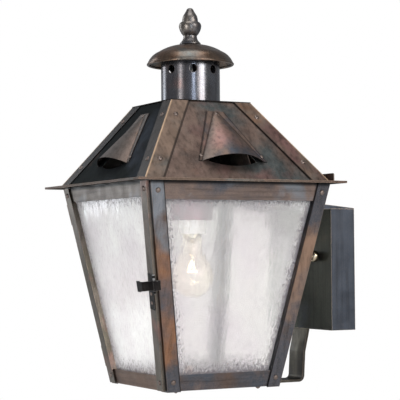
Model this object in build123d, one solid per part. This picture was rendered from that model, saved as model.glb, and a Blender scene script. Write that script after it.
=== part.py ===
from build123d import *
import math
import os

# Outdoor wall lantern of folded copper sheet with seeded glass.
# Frame: millimetres, +Z up, +Y into the wall, +X to the right seen from the room.
# The origin is the middle of the crossbar's screw pattern, on the wall.

# ---------------------------------------------------------------- driving dimensions
AXIS_Y = -214.5            # the lantern's upright centre line, in front of the wall
SHEET = 1.2                # ordinary sheet
POST_SHEET = 1.5           # heavier sheet of the corner posts

# tapered body: half width at the right, left and back, and reach of the front posts
BODY_TOP_Z = 100.8
BODY_BOTTOM_Z = -176.5
TOP_HALF = 140.0
BOTTOM_HALF = 87.5
TOP_REACH = 131.9
BOTTOM_REACH = 83.0
LEG_WIDTH = 19.5           # post legs on the right, left and back
FRONT_LEG_WIDTH = 18.0     # post legs behind the door
LIP_DEPTH = 7.6            # the posts' returned edges, which the panes press against
TOP_RAIL_LOW_Z = 75.4
BOTTOM_RAIL_HIGH_Z = -153.9
RAIL_BOTTOM_Z = -175.4
RAIL_DEPTH = POST_SHEET + 0.1
RAIL_BACK = RAIL_DEPTH + SHEET
PANE = 2.5                 # seeded glass
PANE_DEPTH = LIP_DEPTH + 0.3
PANE_LOW_Z = -166.0
PANE_HIGH_Z = 86.0
SILL_TOP_Z = -168.0
HEADER_LOW_Z = 92.0
RIVET_HIGH_Z = 86.5
RIVET_LOW_Z = -163.5
RIVET_R = 3.6
RIVET_TALL = 1.8
SMALL_RIVET_R = 2.5
SMALL_RIVET_TALL = 1.3
FRONT_RAIL_IN = 1.6        # the header's and sill's ends to the body's corners
CLEAR = 0.1                # gap between pieces that slide into place
SCREW_X = 66.0             # bottom screws from the centre line
SCREW_FRONT_Y = 60.0
SCREW_BACK_Y = 66.0
SCREW_R = 4.2
SCREW_TALL = 4.6

# bent tabs that hold the panes
CLIP_WIDTH = 12.0
CLIP_SHEET = 0.8
CLIP_GAP = 0.6             # clip foot to the pane's edge
CLIP_HIGH_ALONG = 45.0
CLIP_LOW_ALONG = 35.0
CLIP_HIGH_Z = 78.5
CLIP_LOW_Z = -157.0
PANE_MARGIN = 4.0          # pane's side edge to the next pane's back

# roof
EAVE_HALF = 156.0
EAVE_TOP_Z = 102.0
EAVE_RIM = 3.0
EAVE_OPENING_HALF = 112.0
ROOF_BASE_HALF = 138.8
ROOF_TOP_HALF = 60.4
ROOF_TOP_Z = 213.3
PANEL_TOP_Z = ROOF_TOP_Z - SHEET
STRAP_DEPTH = 1.5          # hip strap thickness, measured level
PANEL_DEPTH = 1.5          # roof panel thickness, measured level
HIP_STRAP_WIDTH = 26.5     # each flange, measured level
HIP_RIVETS = ((191.4, 13.8), (128.3, 12.2))
UPSTAND_HALF = 137.5
UPSTAND_TOP_Z = 113.3
UPSTAND_Y = 146.5          # its front face, behind the lantern's centre line

# vent scoops, in the roof panel's own plane: across, and up the slope from the eave
SCOOP_SHEET = 1.0
MOUTH_UP = 29.4
MOUTH_HALF = 48.0
MOUTH_RISE = 18.0
TIP_UP = 108.0
TIP_HALF = 7.0
TIP_RISE = 2.6
FLANGE_UP = (30.0, 116.0)
FLANGE_HALF = (51.0, 13.0)
SCOOP_RIVETS = ((-46.0, 38.4), (46.0, 38.4), (0.0, 112.0))
VENT_UP = (30.0, 94.0)
VENT_HALF = (36.0, 6.0)
VENT_SAG = 7.0             # how far the vent's curved lower edge hangs below its corners

# chimney, cap and finial
CHIMNEY_R = 41.1
CHIMNEY_TOP_Z = 287.2
VENT_HOLE_R = 5.75
VENT_HOLE_Z = 259.5
VENT_HOLES = 8
CAP_R = 60.6
CAP_RIM_Z = 269.6
CAP_CROWN_Z = 296.7
CAP_CROWN_R = 15.0
RIM_ROLL_R = 1.8
FINIAL_TOP_Z = 349.0
ROD_R = 4.0
ROD_HOLE_R = 4.3
ROD_TOP_Z = 311.0
ROD_BOTTOM_Z = 199.0
BRIDGE_BAR = 3.0
BRIDGE_LONG = 104.0
BRIDGE_WIDE = 16.0
WASHER_R = 8.0
WASHER = 1.6
ROD_NUT_ACROSS = 13.0
ROD_NUT = 6.5
THREAD = 0.05              # gap at every threaded fit

# door: a frame that lies over the front posts, hinged at the left
DOOR_INSET = 4.5           # door edge to body corner
DOOR_PROUD = 4.5           # door face in front of the posts' face
DOOR_TOP_Z = 98.6
DOOR_BOTTOM_Z = -175.0
STILE_WIDTH = 17.0
STILE_CLEAR = 0.45         # stile's returned edge to the post
DOOR_RAIL_FRONT = -1.9     # rail face, in front of the posts' face
DOOR_TOP_RAIL_LOW_Z = 79.4
DOOR_BOTTOM_RAIL_HIGH_Z = -155.5
DOOR_LIP_END = 3.0
DOOR_PANE_DEPTH = 3.2
DOOR_PANE_LOW_Z = -161.5
DOOR_PANE_HIGH_Z = 85.5
DOOR_RIVET_HIGH_Z = 88.8
DOOR_RIVET_LOW_Z = -164.0
HINGE_IN = 2.2             # hinge pin to the body corner
HINGE_OUT = 2.15           # hinge pin in front of the posts' face
HINGE_R = 1.85
HINGE_PIN_R = 0.95
HINGE_BORE_R = 1.0
HINGE_LONG = 30.0
HINGE_LEAF = 0.7
HINGE_REACH = 12.0
HINGE_HEIGHTS = (62.0, -138.0)
HINGE_KNUCKLE = 8.0        # the post leaf's two knuckles
HINGE_GAP = 0.3
DOOR_CLIP_HIGH_Z = 80.8
DOOR_CLIP_LOW_ALONG = 30.0

# latch, on the door's right stile: across the stile, along it, and out from its face
LATCH_Z = -44.6
LATCH_STRIP_X = 0.3
LATCH_STRIP_HALF = 6.7
LATCH_STRIP_LONG = (-23.0, 25.4)
LATCH_SHEET = 1.2
LATCH_PIN = (10.9, 1.3)
LATCH_KNUCKLE_R = 2.0
LATCH_PIN_R = 0.95
LATCH_BORE_R = 1.0
LEVER_LONG = (5.0, 18.3)
ARM_SHANK = 6.0
ARM_ANGLES = (20.0, 62.0, 4.0)
ARM_BEND_R = 7.0
TAB_LONG = 12.0
TAB_TALL = 14.5
LATCH_KNUCKLES = ((22.0, 25.4), (1.0, 4.6))
LATCH_RIVETS = (-1.4, -13.7)
NOSE_OUTSIDE = 0.5         # nose to the post's side face
ARM_DROOP = 8.7            # degrees that the lever's arm hangs below square
NOSE_LOW = -6.4
SPRING_UP = 18.9
SPRING_R = 1.5
SPRING_PITCH = 0.8
SPRING_TALL = 2.4
SPRING_WIRE_R = 0.3
SPRING_LEG = 7.0

# lamp
BRIDGE_HALF = 118.0
BRIDGE_STRIP = 20.0
BRIDGE_SHEET = 2.0
BRIDGE_RIVET_X = 115.0
NIPPLE_R = 4.8
NIPPLE_BORE_R = 3.4
NIPPLE_HOLE_R = 5.0
NIPPLE_Z = (66.0, 110.0)
LOCKNUT = 2.5
LOCKNUT_ACROSS = 14.0
CUP_R = 29.4
CUP_Z = (51.7, 99.5)
SOCKET_R = 19.0
SOCKET_BORE_R = 14.3
SOCKET_BORE_DEEP = 25.4
SOCKET_Z = (32.6, 75.0)
GLOBE_R = 30.0
GLOBE_Z = -26.0
BULB_SHELL = 0.8
BASE_R = 13.0
BASE_Z = (27.2, 51.9)
NECK_R = 14.2
NECK_Z = 14.0
FILAMENT_Z = -20.0
FILAMENT_LONG = 19.0
FILAMENT_R = 0.9
FILAMENT_WIRE_R = 0.35
STEM_END_Z = -4.0

# wall box, its fittings and the two arms that hold the lantern
BOX_HALF = 85.0
BOX_CENTRE_Z = -18.5
BOX_DEPTH = 39.0
BOX_LIP = 8.0
STUD_X = 52.5
STUD_R = 2.1
STUD_HOLE_R = 2.6
BALL_R = 8.0
BALL_Y = -46.8
CROSSBAR_HALF = 61.0
CROSSBAR_TALL = 20.0
CROSSBAR = 2.0
SLOT_X = 34.925
SLOT_LONG = 14.0
SLOT_HALF = 2.3
NUT_ACROSS = 8.6
NUT = 3.2
GROUND_SCREW_X = -14.0
GROUND_SCREW_R = 3.6
GROUND_SCREW_TALL = 2.4
ARM_HALF = 85.0
ARM_RISE = 0.1             # the top arm's slope
ARM_WALL_Z = 67.8
ARM_TAB_LOW_Z = 74.6
ARM_TAB_TOP_Z = 99.5
ARM_TAB_RIVETS_X = (-66.0, -26.0, 26.0, 66.0)
ARM_TAB_RIVETS_Z = 89.0
ARM_BOX_RIVETS_X = (-66.0, 66.0)
ARM_BOX_RIVETS_Y = (-10.0, -30.0)
TUBE_Z = 91.0
TUBE_WALL_Y = -20.0
TUBE_END_Z = 50.0
TUBE_MOUTH_Y = 96.0        # behind the lantern's centre line
TUBE_BEND_R = 11.0
HOLDER_WIDTH = 38.0
HOLDER = 3.2
HOLDER_TOP_Z = -175.6
HOLDER_BEND_R = 7.5
HOLDER_START_Z = -24.0
HOLDER_BOX_RIVETS_Z = (-34.0, -54.0)
HOLDER_PLATE_RIVETS_Y = (0.0, 36.0)

# level distance per millimetre of height on the body's faces and on the roof
SIDE_LEAN = (TOP_HALF - BOTTOM_HALF) / (BODY_TOP_Z - BODY_BOTTOM_Z)
FRONT_LEAN = (TOP_REACH - BOTTOM_REACH) / (BODY_TOP_Z - BODY_BOTTOM_Z)
ROOF_LEAN = (ROOF_BASE_HALF - ROOF_TOP_HALF) / (ROOF_TOP_Z - EAVE_TOP_Z)

NODES = {}


# ---------------------------------------------------------------- helpers
def between(z, low, high, at_low, at_high):
    """Value at height z on the straight line between two heights."""
    return at_low + (at_high - at_low) * (z - low) / (high - low)


def half(z):
    return between(z, BODY_BOTTOM_Z, BODY_TOP_Z, BOTTOM_HALF, TOP_HALF)


def reach(z):
    return between(z, BODY_BOTTOM_Z, BODY_TOP_Z, BOTTOM_REACH, TOP_REACH)


def roof_half(z):
    return between(z, EAVE_TOP_Z, ROOF_TOP_Z, ROOF_BASE_HALF, ROOF_TOP_HALF)


def prism(low, high, bounds):
    """Flat-sided solid between two level rectangles; bounds(z) gives x0, x1, y0, y1."""
    faces = []
    for z in (low, high):
        x0, x1, y0, y1 = bounds(z)
        centre = Pos((x0 + x1) / 2, (y0 + y1) / 2, z)
        faces.append((centre * Rectangle(x1 - x0, y1 - y0)).face())
    return loft(faces, ruled=True)


def strip(side, low, high, outer, inner, near=0.0, far=0.0, width=None):
    """Strip on one side of the body, from height low to high.

    outer and inner are depths behind that side's face. near and far are the distances in
    from its two corners: the front and back ones at the sides, else the left and right
    ones. With width, the strip is that wide from the near corner, or, when near is None,
    from the far one.
    """
    def bounds(z):
        wide = half(z)
        start = -reach(z) if side in ("right", "left") else -wide
        stop = wide
        if width is None:
            a, b = start + near, stop - far
        elif near is None:
            a, b = stop - far - width, stop - far
        else:
            a, b = start + near, start + near + width
        if side == "right":
            return wide - inner, wide - outer, a, b
        if side == "left":
            return -wide + outer, -wide + inner, a, b
        if side == "back":
            return a, b, wide - inner, wide - outer
        return a, b, -reach(z) + outer, -reach(z) + inner
    return prism(low, high, bounds)


def frame_at(point, normal, across):
    """Plane at a point, z along normal and x along across made square to it."""
    n = Vector(*normal).normalized()
    a = Vector(*across)
    a = (a - n * a.dot(n)).normalized()
    return Plane(origin=point, x_dir=a, z_dir=n)


def side_frame(side, along, z, depth=0.0):
    """Plane on one side's face, z outwards, at a distance along it and a depth behind it."""
    if side == "front":
        return frame_at((along, -reach(z) + depth, z), (0, -1, -FRONT_LEAN), (1, 0, 0))
    if side == "back":
        return frame_at((along, half(z) - depth, z), (0, 1, -SIDE_LEAN), (-1, 0, 0))
    sign = 1 if side == "right" else -1
    return frame_at((sign * (half(z) - depth), along, z), (sign, 0, -SIDE_LEAN), (0, sign, 0))


def slab(plane, outline, thickness):
    """Solid of an outline drawn on a plane, made thick along the plane's normal."""
    return extrude(make_face(plane * outline), thickness, dir=plane.z_dir)


def dome_head(radius, height):
    """Low domed head standing on z = 0."""
    outline = Polyline((radius, 0), (0, 0), (0, height))
    outline += ThreePointArc((0, height), (radius * 0.72, height * 0.6), (radius, 0))
    return revolve(make_face(Plane.XZ * outline), Axis.Z)


def rivet_head(radius, height):
    """Hammered rivet head standing on z = 0, in three tiers of small flats."""
    tiers = ((1.0, 0.0), (0.93, 0.4), (0.72, 0.78), (0.38, 1.0))
    rings = [(Pos(0, 0, rise * height) * RegularPolygon(radius * out, 16)).face() for out, rise in tiers]
    return loft(rings, ruled=True)


def hex_nut(across, thick, bore_r):
    """Hexagon nut standing on z = 0."""
    corner_r = across / math.sqrt(3)
    return extrude(RegularPolygon(corner_r, 6) - Circle(bore_r), thick)


def tube_ring(outer_r, inner_r, low, high):
    return Pos(0, 0, low) * extrude(Circle(outer_r) - Circle(inner_r), high - low)


def quarter_turn(shape, count):
    return Rot(0, 0, 90 * count) * shape


def keep(name, shape, on_lantern=True):
    """Store a node; lantern pieces are drawn about their own centre line."""
    solids = shape if isinstance(shape, list) else [shape]
    if on_lantern:
        solids = [Pos(0, AXIS_Y, 0) * solid for solid in solids]
    NODES[name] = solids[0] if len(solids) == 1 else Compound(children=solids)


def add_rivet(rivets, plane, head, on_lantern=True):
    """Put a rivet head on a plane and add it to a list of heads."""
    spot = plane.location * head
    rivets.append(Pos(0, AXIS_Y, 0) * spot if on_lantern else spot)


RIVET = rivet_head(RIVET_R, RIVET_TALL)
SMALL_RIVET = rivet_head(SMALL_RIVET_R, SMALL_RIVET_TALL)
RIVETS = []
SMALL_RIVETS = []
LOCKNUT_RING = hex_nut(LOCKNUT_ACROSS, LOCKNUT, NIPPLE_R + THREAD)


# ---------------------------------------------------------------- body frame
def corner_post(side, end):
    """Bent corner post: one leg on the side, one on the front or the back."""
    far_end = end == "back"
    side_near = None if far_end else 0.0
    other_near = None if side == "right" else 0.0
    other_width = LEG_WIDTH if far_end else FRONT_LEG_WIDTH
    low, high = BODY_BOTTOM_Z, BODY_TOP_Z
    post = strip(side, low, high, 0, POST_SHEET, near=side_near, width=LEG_WIDTH)
    post += strip(end, low, high, 0, POST_SHEET, near=other_near, width=other_width)
    lip_low, lip_high = BOTTOM_RAIL_HIGH_Z + 0.3, TOP_RAIL_LOW_Z - 0.3
    edge = LEG_WIDTH - POST_SHEET
    if far_end:
        post += strip(side, lip_low, lip_high, 0, LIP_DEPTH, near=None, far=edge, width=POST_SHEET)
        near, far = (None, edge) if side == "right" else (edge, 0)
        post += strip(end, lip_low, lip_high, 0, LIP_DEPTH, near=near, far=far, width=POST_SHEET)
    else:
        post += strip(side, lip_low, lip_high, 0, LIP_DEPTH, near=edge, width=POST_SHEET)
    return post


def make_frame():
    for end in ("front", "back"):
        for side in ("right", "left"):
            keep(f"corner_post_{end}_{side}", corner_post(side, end))
    inside = RAIL_BACK + CLEAR
    top_rails = []
    bottom_rails = []
    for side in ("right", "back", "left"):
        near = POST_SHEET + CLEAR if side == "back" else inside
        top = strip(side, TOP_RAIL_LOW_Z, BODY_TOP_Z, RAIL_DEPTH, RAIL_BACK, near, near)
        bottom = strip(side, RAIL_BOTTOM_Z, BOTTOM_RAIL_HIGH_Z, RAIL_DEPTH, RAIL_BACK, near, near)
        if side == "back":
            top -= Pos(0, half(TUBE_Z), TUBE_Z) * Rot(90, 0, 0) * Cylinder(NIPPLE_HOLE_R, 30)
        top_rails.append(top)
        bottom_rails.append(bottom)
    keep("top_rails", top_rails)
    keep("bottom_rails", bottom_rails)
    header = strip("front", HEADER_LOW_Z, BODY_TOP_Z, RAIL_DEPTH, RAIL_BACK,
                   FRONT_RAIL_IN, FRONT_RAIL_IN)
    sill = strip("front", RAIL_BOTTOM_Z, SILL_TOP_Z, RAIL_DEPTH, RAIL_BACK,
                 FRONT_RAIL_IN, FRONT_RAIL_IN)
    keep("front_header", header)
    keep("front_sill", sill)

    middle = LEG_WIDTH / 2
    for z in (RIVET_HIGH_Z, RIVET_LOW_Z):
        for side in ("right", "left"):
            for along in (-reach(z) + middle, half(z) - middle):
                add_rivet(RIVETS, side_frame(side, along, z), RIVET)
        for along in (-half(z) + middle, half(z) - middle):
            add_rivet(RIVETS, side_frame("back", along, z), RIVET)


def make_bottom():
    gap = RAIL_BACK + CLEAR
    plate_z = HOLDER_TOP_Z + CLEAR

    def bounds(z):
        edge = half(z) - gap
        return -edge, edge, -reach(z) + gap, edge
    keep("bottom_plate", prism(plate_z, plate_z + SHEET, bounds))
    head = Rot(180, 0, 0) * dome_head(SCREW_R, SCREW_TALL)
    screws = []
    for x in (-SCREW_X, SCREW_X):
        for y in (-SCREW_FRONT_Y, SCREW_BACK_Y):
            screws.append(Pos(x, y, plate_z) * head)
    keep("bottom_screws", screws)


def pane_clip(side, along, foot_z, leg_z, shallow, deep):
    """Bent tab: a foot off the rail past the pane's edge and a leg behind the pane."""
    def piece(low, high, outer, inner):
        whole = strip(side, low, high, outer, inner, 0, 0)
        if side in ("front", "back"):
            window = Pos(along, 0, (low + high) / 2) * Box(CLIP_WIDTH, 400, 60)
        else:
            window = Pos(0, along, (low + high) / 2) * Box(400, CLIP_WIDTH, 60)
        return whole & window
    foot_end = foot_z + math.copysign(CLIP_SHEET, foot_z)
    foot_low, foot_high = sorted((foot_z, foot_end))
    leg_low, leg_high = sorted((leg_z, foot_end))
    clip = piece(foot_low, foot_high, shallow, deep + CLIP_SHEET)
    clip += piece(leg_low, leg_high, deep, deep + CLIP_SHEET)
    return clip


def make_panes():
    back = PANE_DEPTH + PANE
    edge = back + PANE_MARGIN
    behind = back + CLEAR
    high_foot = PANE_HIGH_Z + CLIP_GAP
    low_foot = PANE_LOW_Z - CLIP_GAP
    clips = []
    panes = []
    for side in ("right", "back", "left"):
        panes.append(strip(side, PANE_LOW_Z, PANE_HIGH_Z, PANE_DEPTH, back, edge, edge))
        for along in (-CLIP_HIGH_ALONG, CLIP_HIGH_ALONG):
            clips.append(pane_clip(side, along, high_foot, CLIP_HIGH_Z, RAIL_BACK, behind))
        for along in (-CLIP_LOW_ALONG, CLIP_LOW_ALONG):
            clips.append(pane_clip(side, along, low_foot, CLIP_LOW_Z, RAIL_BACK, behind))
    keep("side_panes", panes)
    keep("pane_clips", clips)


# ---------------------------------------------------------------- roof
def roof_frame():
    """Plane on the right roof panel, x across, y up the slope, from the eave."""
    start = (ROOF_BASE_HALF - STRAP_DEPTH, 0, EAVE_TOP_Z)
    return frame_at(start, (1, 0, ROOF_LEAN), (0, 1, 0))


def bow(half_width, rise, up):
    """Bow-shaped face standing square to the slope: a chord and an arc over it."""
    outline = Polyline((half_width, 0), (-half_width, 0))
    outline += ThreePointArc((-half_width, 0), (0, rise), (half_width, 0))
    stand = Plane(origin=(0, up, 0), x_dir=(1, 0, 0), z_dir=(0, -1, 0))
    return make_face(stand * outline).face()


def vent_scoop():
    """Half-cone hood with flat flanges, drawn in the roof panel's own plane."""
    def cone(shrink, start, stop):
        ends = []
        for up in (start, stop):
            wide = between(up, MOUTH_UP, TIP_UP, MOUTH_HALF, TIP_HALF) - shrink
            rise = between(up, MOUTH_UP, TIP_UP, MOUTH_RISE, TIP_RISE) - shrink
            ends.append(bow(wide, rise, up))
        return loft(ends, ruled=True)
    hollow = cone(SCOOP_SHEET, MOUTH_UP - 3, TIP_UP - 2)
    low, high = FLANGE_UP
    outline = [(-FLANGE_HALF[0], low), (FLANGE_HALF[0], low)]
    outline += [(FLANGE_HALF[1], high), (-FLANGE_HALF[1], high)]
    flange = extrude(Polygon(*outline, align=None), SCOOP_SHEET)
    return (flange + cone(0, MOUTH_UP, TIP_UP)) - hollow


def make_roof():
    slope = roof_frame()
    skin = STRAP_DEPTH + PANEL_DEPTH

    def wide_bounds(z):
        edge = roof_half(z)
        return edge - skin, edge - STRAP_DEPTH, -edge + STRAP_DEPTH, edge - STRAP_DEPTH

    def narrow_bounds(z):
        edge = roof_half(z)
        return edge - skin, edge - STRAP_DEPTH, -edge + skin, edge - skin
    low, high = VENT_UP
    wide, narrow = VENT_HALF
    vent = Polyline((wide, low), (narrow, high), (-narrow, high), (-wide, low))
    vent += ThreePointArc((-wide, low), (0, low - VENT_SAG), (wide, low))
    cutter = slope.location * slab(Plane(origin=(0, 0, -6)), vent, 12)
    scoop = slope.location * vent_scoop()
    scoops = []
    for count, side in enumerate(("right", "back", "left", "front")):
        bounds = narrow_bounds if side in ("right", "left") else wide_bounds
        panel = prism(EAVE_TOP_Z, PANEL_TOP_Z, bounds) - cutter
        keep(f"roof_panel_{side}", quarter_turn(panel, count))
        scoops.append(quarter_turn(scoop, count))
        for across, up in SCOOP_RIVETS:
            spot = slope.location * Pos(across, up, SCOOP_SHEET) * SMALL_RIVET
            SMALL_RIVETS.append(Pos(0, AXIS_Y, 0) * quarter_turn(spot, count))
    keep("vent_scoops", scoops)

    def on_right(z):
        edge = roof_half(z)
        return edge - STRAP_DEPTH, edge, edge - HIP_STRAP_WIDTH, edge

    def on_back(z):
        edge = roof_half(z)
        return edge - HIP_STRAP_WIDTH, edge, edge - STRAP_DEPTH, edge
    strap = prism(EAVE_TOP_Z, PANEL_TOP_Z, on_right) + prism(EAVE_TOP_Z, PANEL_TOP_Z, on_back)
    heads = []
    for z, in_from_hip in HIP_RIVETS:
        edge = roof_half(z)
        right = frame_at((edge, edge - in_from_hip, z), (1, 0, ROOF_LEAN), (0, 1, 0))
        back = frame_at((edge - in_from_hip, edge, z), (0, 1, ROOF_LEAN), (1, 0, 0))
        heads += [right.location * RIVET, back.location * RIVET]
    keep("hip_straps", [quarter_turn(strap, count) for count in range(4)])
    for count in range(4):
        RIVETS.extend(Pos(0, AXIS_Y, 0) * quarter_turn(head, count) for head in heads)

    across = 2 * roof_half(PANEL_TOP_Z)
    plate = Pos(0, 0, ROOF_TOP_Z - SHEET / 2) * Box(across, across, SHEET)
    keep("roof_top_plate", plate - Pos(0, 0, ROOF_TOP_Z) * Cylinder(CHIMNEY_R - SHEET, 10))


def make_eave():
    full = 2 * EAVE_HALF
    opening = 2 * EAVE_OPENING_HALF
    sheet = Pos(0, 0, EAVE_TOP_Z - SHEET / 2) * (Box(full, full, SHEET) - Box(opening, opening, 9))
    rim_inner = full - 2 * POST_SHEET
    rim = Box(full, full, EAVE_RIM) - Box(rim_inner, rim_inner, 9)
    keep("eave_plate", sheet + Pos(0, 0, EAVE_TOP_Z - EAVE_RIM / 2) * rim)
    height = UPSTAND_TOP_Z - EAVE_TOP_Z
    wall = Pos(0, UPSTAND_Y + SHEET / 2, EAVE_TOP_Z + height / 2) * Box(2 * UPSTAND_HALF, SHEET, height)
    top_ends = wall.edges().filter_by(Axis.Y).sort_by(Axis.Z)[-2:]
    wall = fillet(top_ends, 3.0)
    foot = Pos(0, UPSTAND_Y + 4.0, EAVE_TOP_Z + SHEET / 2) * Box(2 * UPSTAND_HALF, 8.0, SHEET)
    keep("rear_upstand", wall + foot)


# ---------------------------------------------------------------- chimney, cap, finial
def make_chimney():
    pipe = tube_ring(CHIMNEY_R, CHIMNEY_R - SHEET, ROOF_TOP_Z, CHIMNEY_TOP_Z)
    for count in range(VENT_HOLES // 2):
        turn = Rot(0, 0, 22.5 + 45 * count)
        pipe -= Pos(0, 0, VENT_HOLE_Z) * turn * Rot(0, 90, 0) * Cylinder(VENT_HOLE_R, 120)
    keep("chimney", pipe)


def cap_outline(drop, rim_r):
    """Half section of the cap: crown and shoulder arcs, with a flat seat on top."""
    crown = CAP_CROWN_Z - drop
    shoulder = (45.0 - drop / 2, 286.6 - drop)
    line = Line((0, crown), (CAP_CROWN_R, crown))
    line += ThreePointArc((CAP_CROWN_R, crown), (32.0, 293.0 - drop), shoulder)
    line += ThreePointArc(shoulder, (55.3 - drop, 279.0 - drop * 0.7), (rim_r, CAP_RIM_Z))
    return line


def make_cap():
    rim_r = CAP_R - 0.2
    outline = cap_outline(0, rim_r) + cap_outline(SHEET, rim_r - SHEET)
    outline += Line((rim_r, CAP_RIM_Z), (rim_r - SHEET, CAP_RIM_Z))
    outline += Line((0, CAP_CROWN_Z), (0, CAP_CROWN_Z - SHEET))
    dome = revolve(make_face(Plane.XZ * outline), Axis.Z)
    roll = Pos(0, 0, CAP_RIM_Z) * Torus(rim_r - SHEET / 2 - 0.6, RIM_ROLL_R)
    keep("dome_cap", dome + roll - Pos(0, 0, CAP_CROWN_Z) * Cylinder(ROD_HOLE_R, 20))


def make_finial():
    base = CAP_CROWN_Z
    hole_r = ROD_R + THREAD
    hole_top = ROD_TOP_Z + 1.0
    outline = Polyline((0, hole_top), (hole_r, hole_top), (hole_r, base), (13.6, base))
    outline += Polyline((13.6, base), (14.8, base + 1.2), (14.4, base + 3.0))
    outline += ThreePointArc((14.4, base + 3.0), (10.9, base + 7.0), (9.4, base + 13.0))
    outline += ThreePointArc((9.4, base + 13.0), (13.6, base + 19.0), (15.6, base + 25.2))
    outline += ThreePointArc((15.6, base + 25.2), (15.1, base + 29.4), (12.9, base + 32.2))
    outline += Line((12.9, base + 32.2), (11.3, base + 32.6))
    outline += Spline((11.3, base + 32.6), (9.7, base + 40.9), (5.8, base + 47.6), (0, FINIAL_TOP_Z),
                      tangents=[(-0.1, 1), (-1, 0)])
    outline += Line((0, FINIAL_TOP_Z), (0, hole_top))
    keep("finial", revolve(make_face(Plane.XZ * outline), Axis.Z))
    rod = Pos(0, 0, (ROD_TOP_Z + ROD_BOTTOM_Z) / 2) * Cylinder(ROD_R, ROD_TOP_Z - ROD_BOTTOM_Z)
    keep("finial_rod", rod)
    bar_top = ROOF_TOP_Z - SHEET
    bar = Pos(0, 0, bar_top - BRIDGE_BAR / 2) * Box(BRIDGE_LONG, BRIDGE_WIDE, BRIDGE_BAR)
    keep("rod_bridge", bar - Pos(0, 0, bar_top) * Cylinder(ROD_HOLE_R, 20))
    under = bar_top - BRIDGE_BAR
    washer = tube_ring(WASHER_R, ROD_HOLE_R, under - WASHER, under)
    nut = Pos(0, 0, under - WASHER - ROD_NUT) * hex_nut(ROD_NUT_ACROSS, ROD_NUT, ROD_R + THREAD)
    keep("rod_nut_and_washer", [nut, washer])


# ---------------------------------------------------------------- door
def hinge_point(z):
    return Vector(-half(z) + HINGE_IN, -reach(z) - HINGE_OUT, z)


def hinge_frame(z):
    """Plane on the hinge line: z up along the pin, x towards the latch, y into the lantern."""
    along = hinge_point(BODY_TOP_Z) - hinge_point(BODY_BOTTOM_Z)
    return frame_at(hinge_point(z), tuple(along), (1, 0, 0))


def door_stile(side):
    """Channel stile: face, outer edge turned to the post, inner edge turned to the pane."""
    low, high = DOOR_BOTTOM_Z, DOOR_TOP_Z

    def part(z0, z1, outer, inner, start, width):
        near, far = (start, 0) if side == "left" else (None, start)
        return strip("front", z0, z1, outer, inner, near, far, width)
    face = part(low, high, -DOOR_PROUD, -DOOR_PROUD + SHEET, DOOR_INSET, STILE_WIDTH)
    outer_edge = part(low, high, -DOOR_PROUD, -STILE_CLEAR, DOOR_INSET, SHEET)
    lip_start = DOOR_INSET + STILE_WIDTH - SHEET
    lip_low, lip_high = DOOR_BOTTOM_RAIL_HIGH_Z + 0.3, DOOR_TOP_RAIL_LOW_Z - 0.3
    lip = part(lip_low, lip_high, -DOOR_PROUD, DOOR_LIP_END, lip_start, SHEET)
    if side == "left":
        for z in HINGE_HEIGHTS:
            gap = Box(6.0, 3.3, HINGE_LONG + 1.6, align=(Align.MIN, Align.MIN, Align.CENTER))
            outer_edge -= hinge_frame(z).location * Pos(0, -1.18, 0) * gap
    return face + outer_edge + lip


def door_rail(low, high, lip_low):
    """Flat rail behind the stile faces, its inner edge turned back to the pane."""
    reach_in = DOOR_INSET + SHEET + CLEAR
    back = DOOR_RAIL_FRONT + SHEET
    rail = strip("front", low, high, DOOR_RAIL_FRONT, back, reach_in, reach_in)
    lip_in = DOOR_INSET + STILE_WIDTH + CLEAR
    lip = strip("front", lip_low, lip_low + SHEET, DOOR_RAIL_FRONT, DOOR_LIP_END, lip_in, lip_in)
    return rail + lip


def hinge_leaf(z, moving):
    """Leaf with its knuckles: two on the post's leaf, one between them on the door's."""
    end = HINGE_LONG / 2
    inner = end - HINGE_KNUCKLE
    middle = (HINGE_GAP - inner, inner - HINGE_GAP)
    bands = [middle] if moving else [(-end, -inner), (inner, end)]
    square = math.cos(math.atan(FRONT_LEAN))
    if moving:
        y0 = (HINGE_OUT - DOOR_PROUD + SHEET) * square + 0.01
    else:
        y0 = HINGE_OUT * square - HINGE_LEAF
    leaf = Box(HINGE_REACH - 2.6, HINGE_LEAF, HINGE_LONG, align=(Align.MIN, Align.MIN, Align.CENTER))
    leaf = Pos(2.6, y0, 0) * leaf
    for low, high in bands:
        tall = high - low
        knuckle = Pos(0, 0, low) * Cylinder(HINGE_R, tall, align=(Align.CENTER, Align.CENTER, Align.MIN))
        tab = Box(3.2, HINGE_LEAF, tall, align=(Align.MIN, Align.MIN, Align.MIN))
        leaf += knuckle + Pos(0, y0, low) * tab
    leaf -= Cylinder(HINGE_BORE_R, HINGE_LONG + 4)
    return hinge_frame(z).location * leaf


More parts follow.
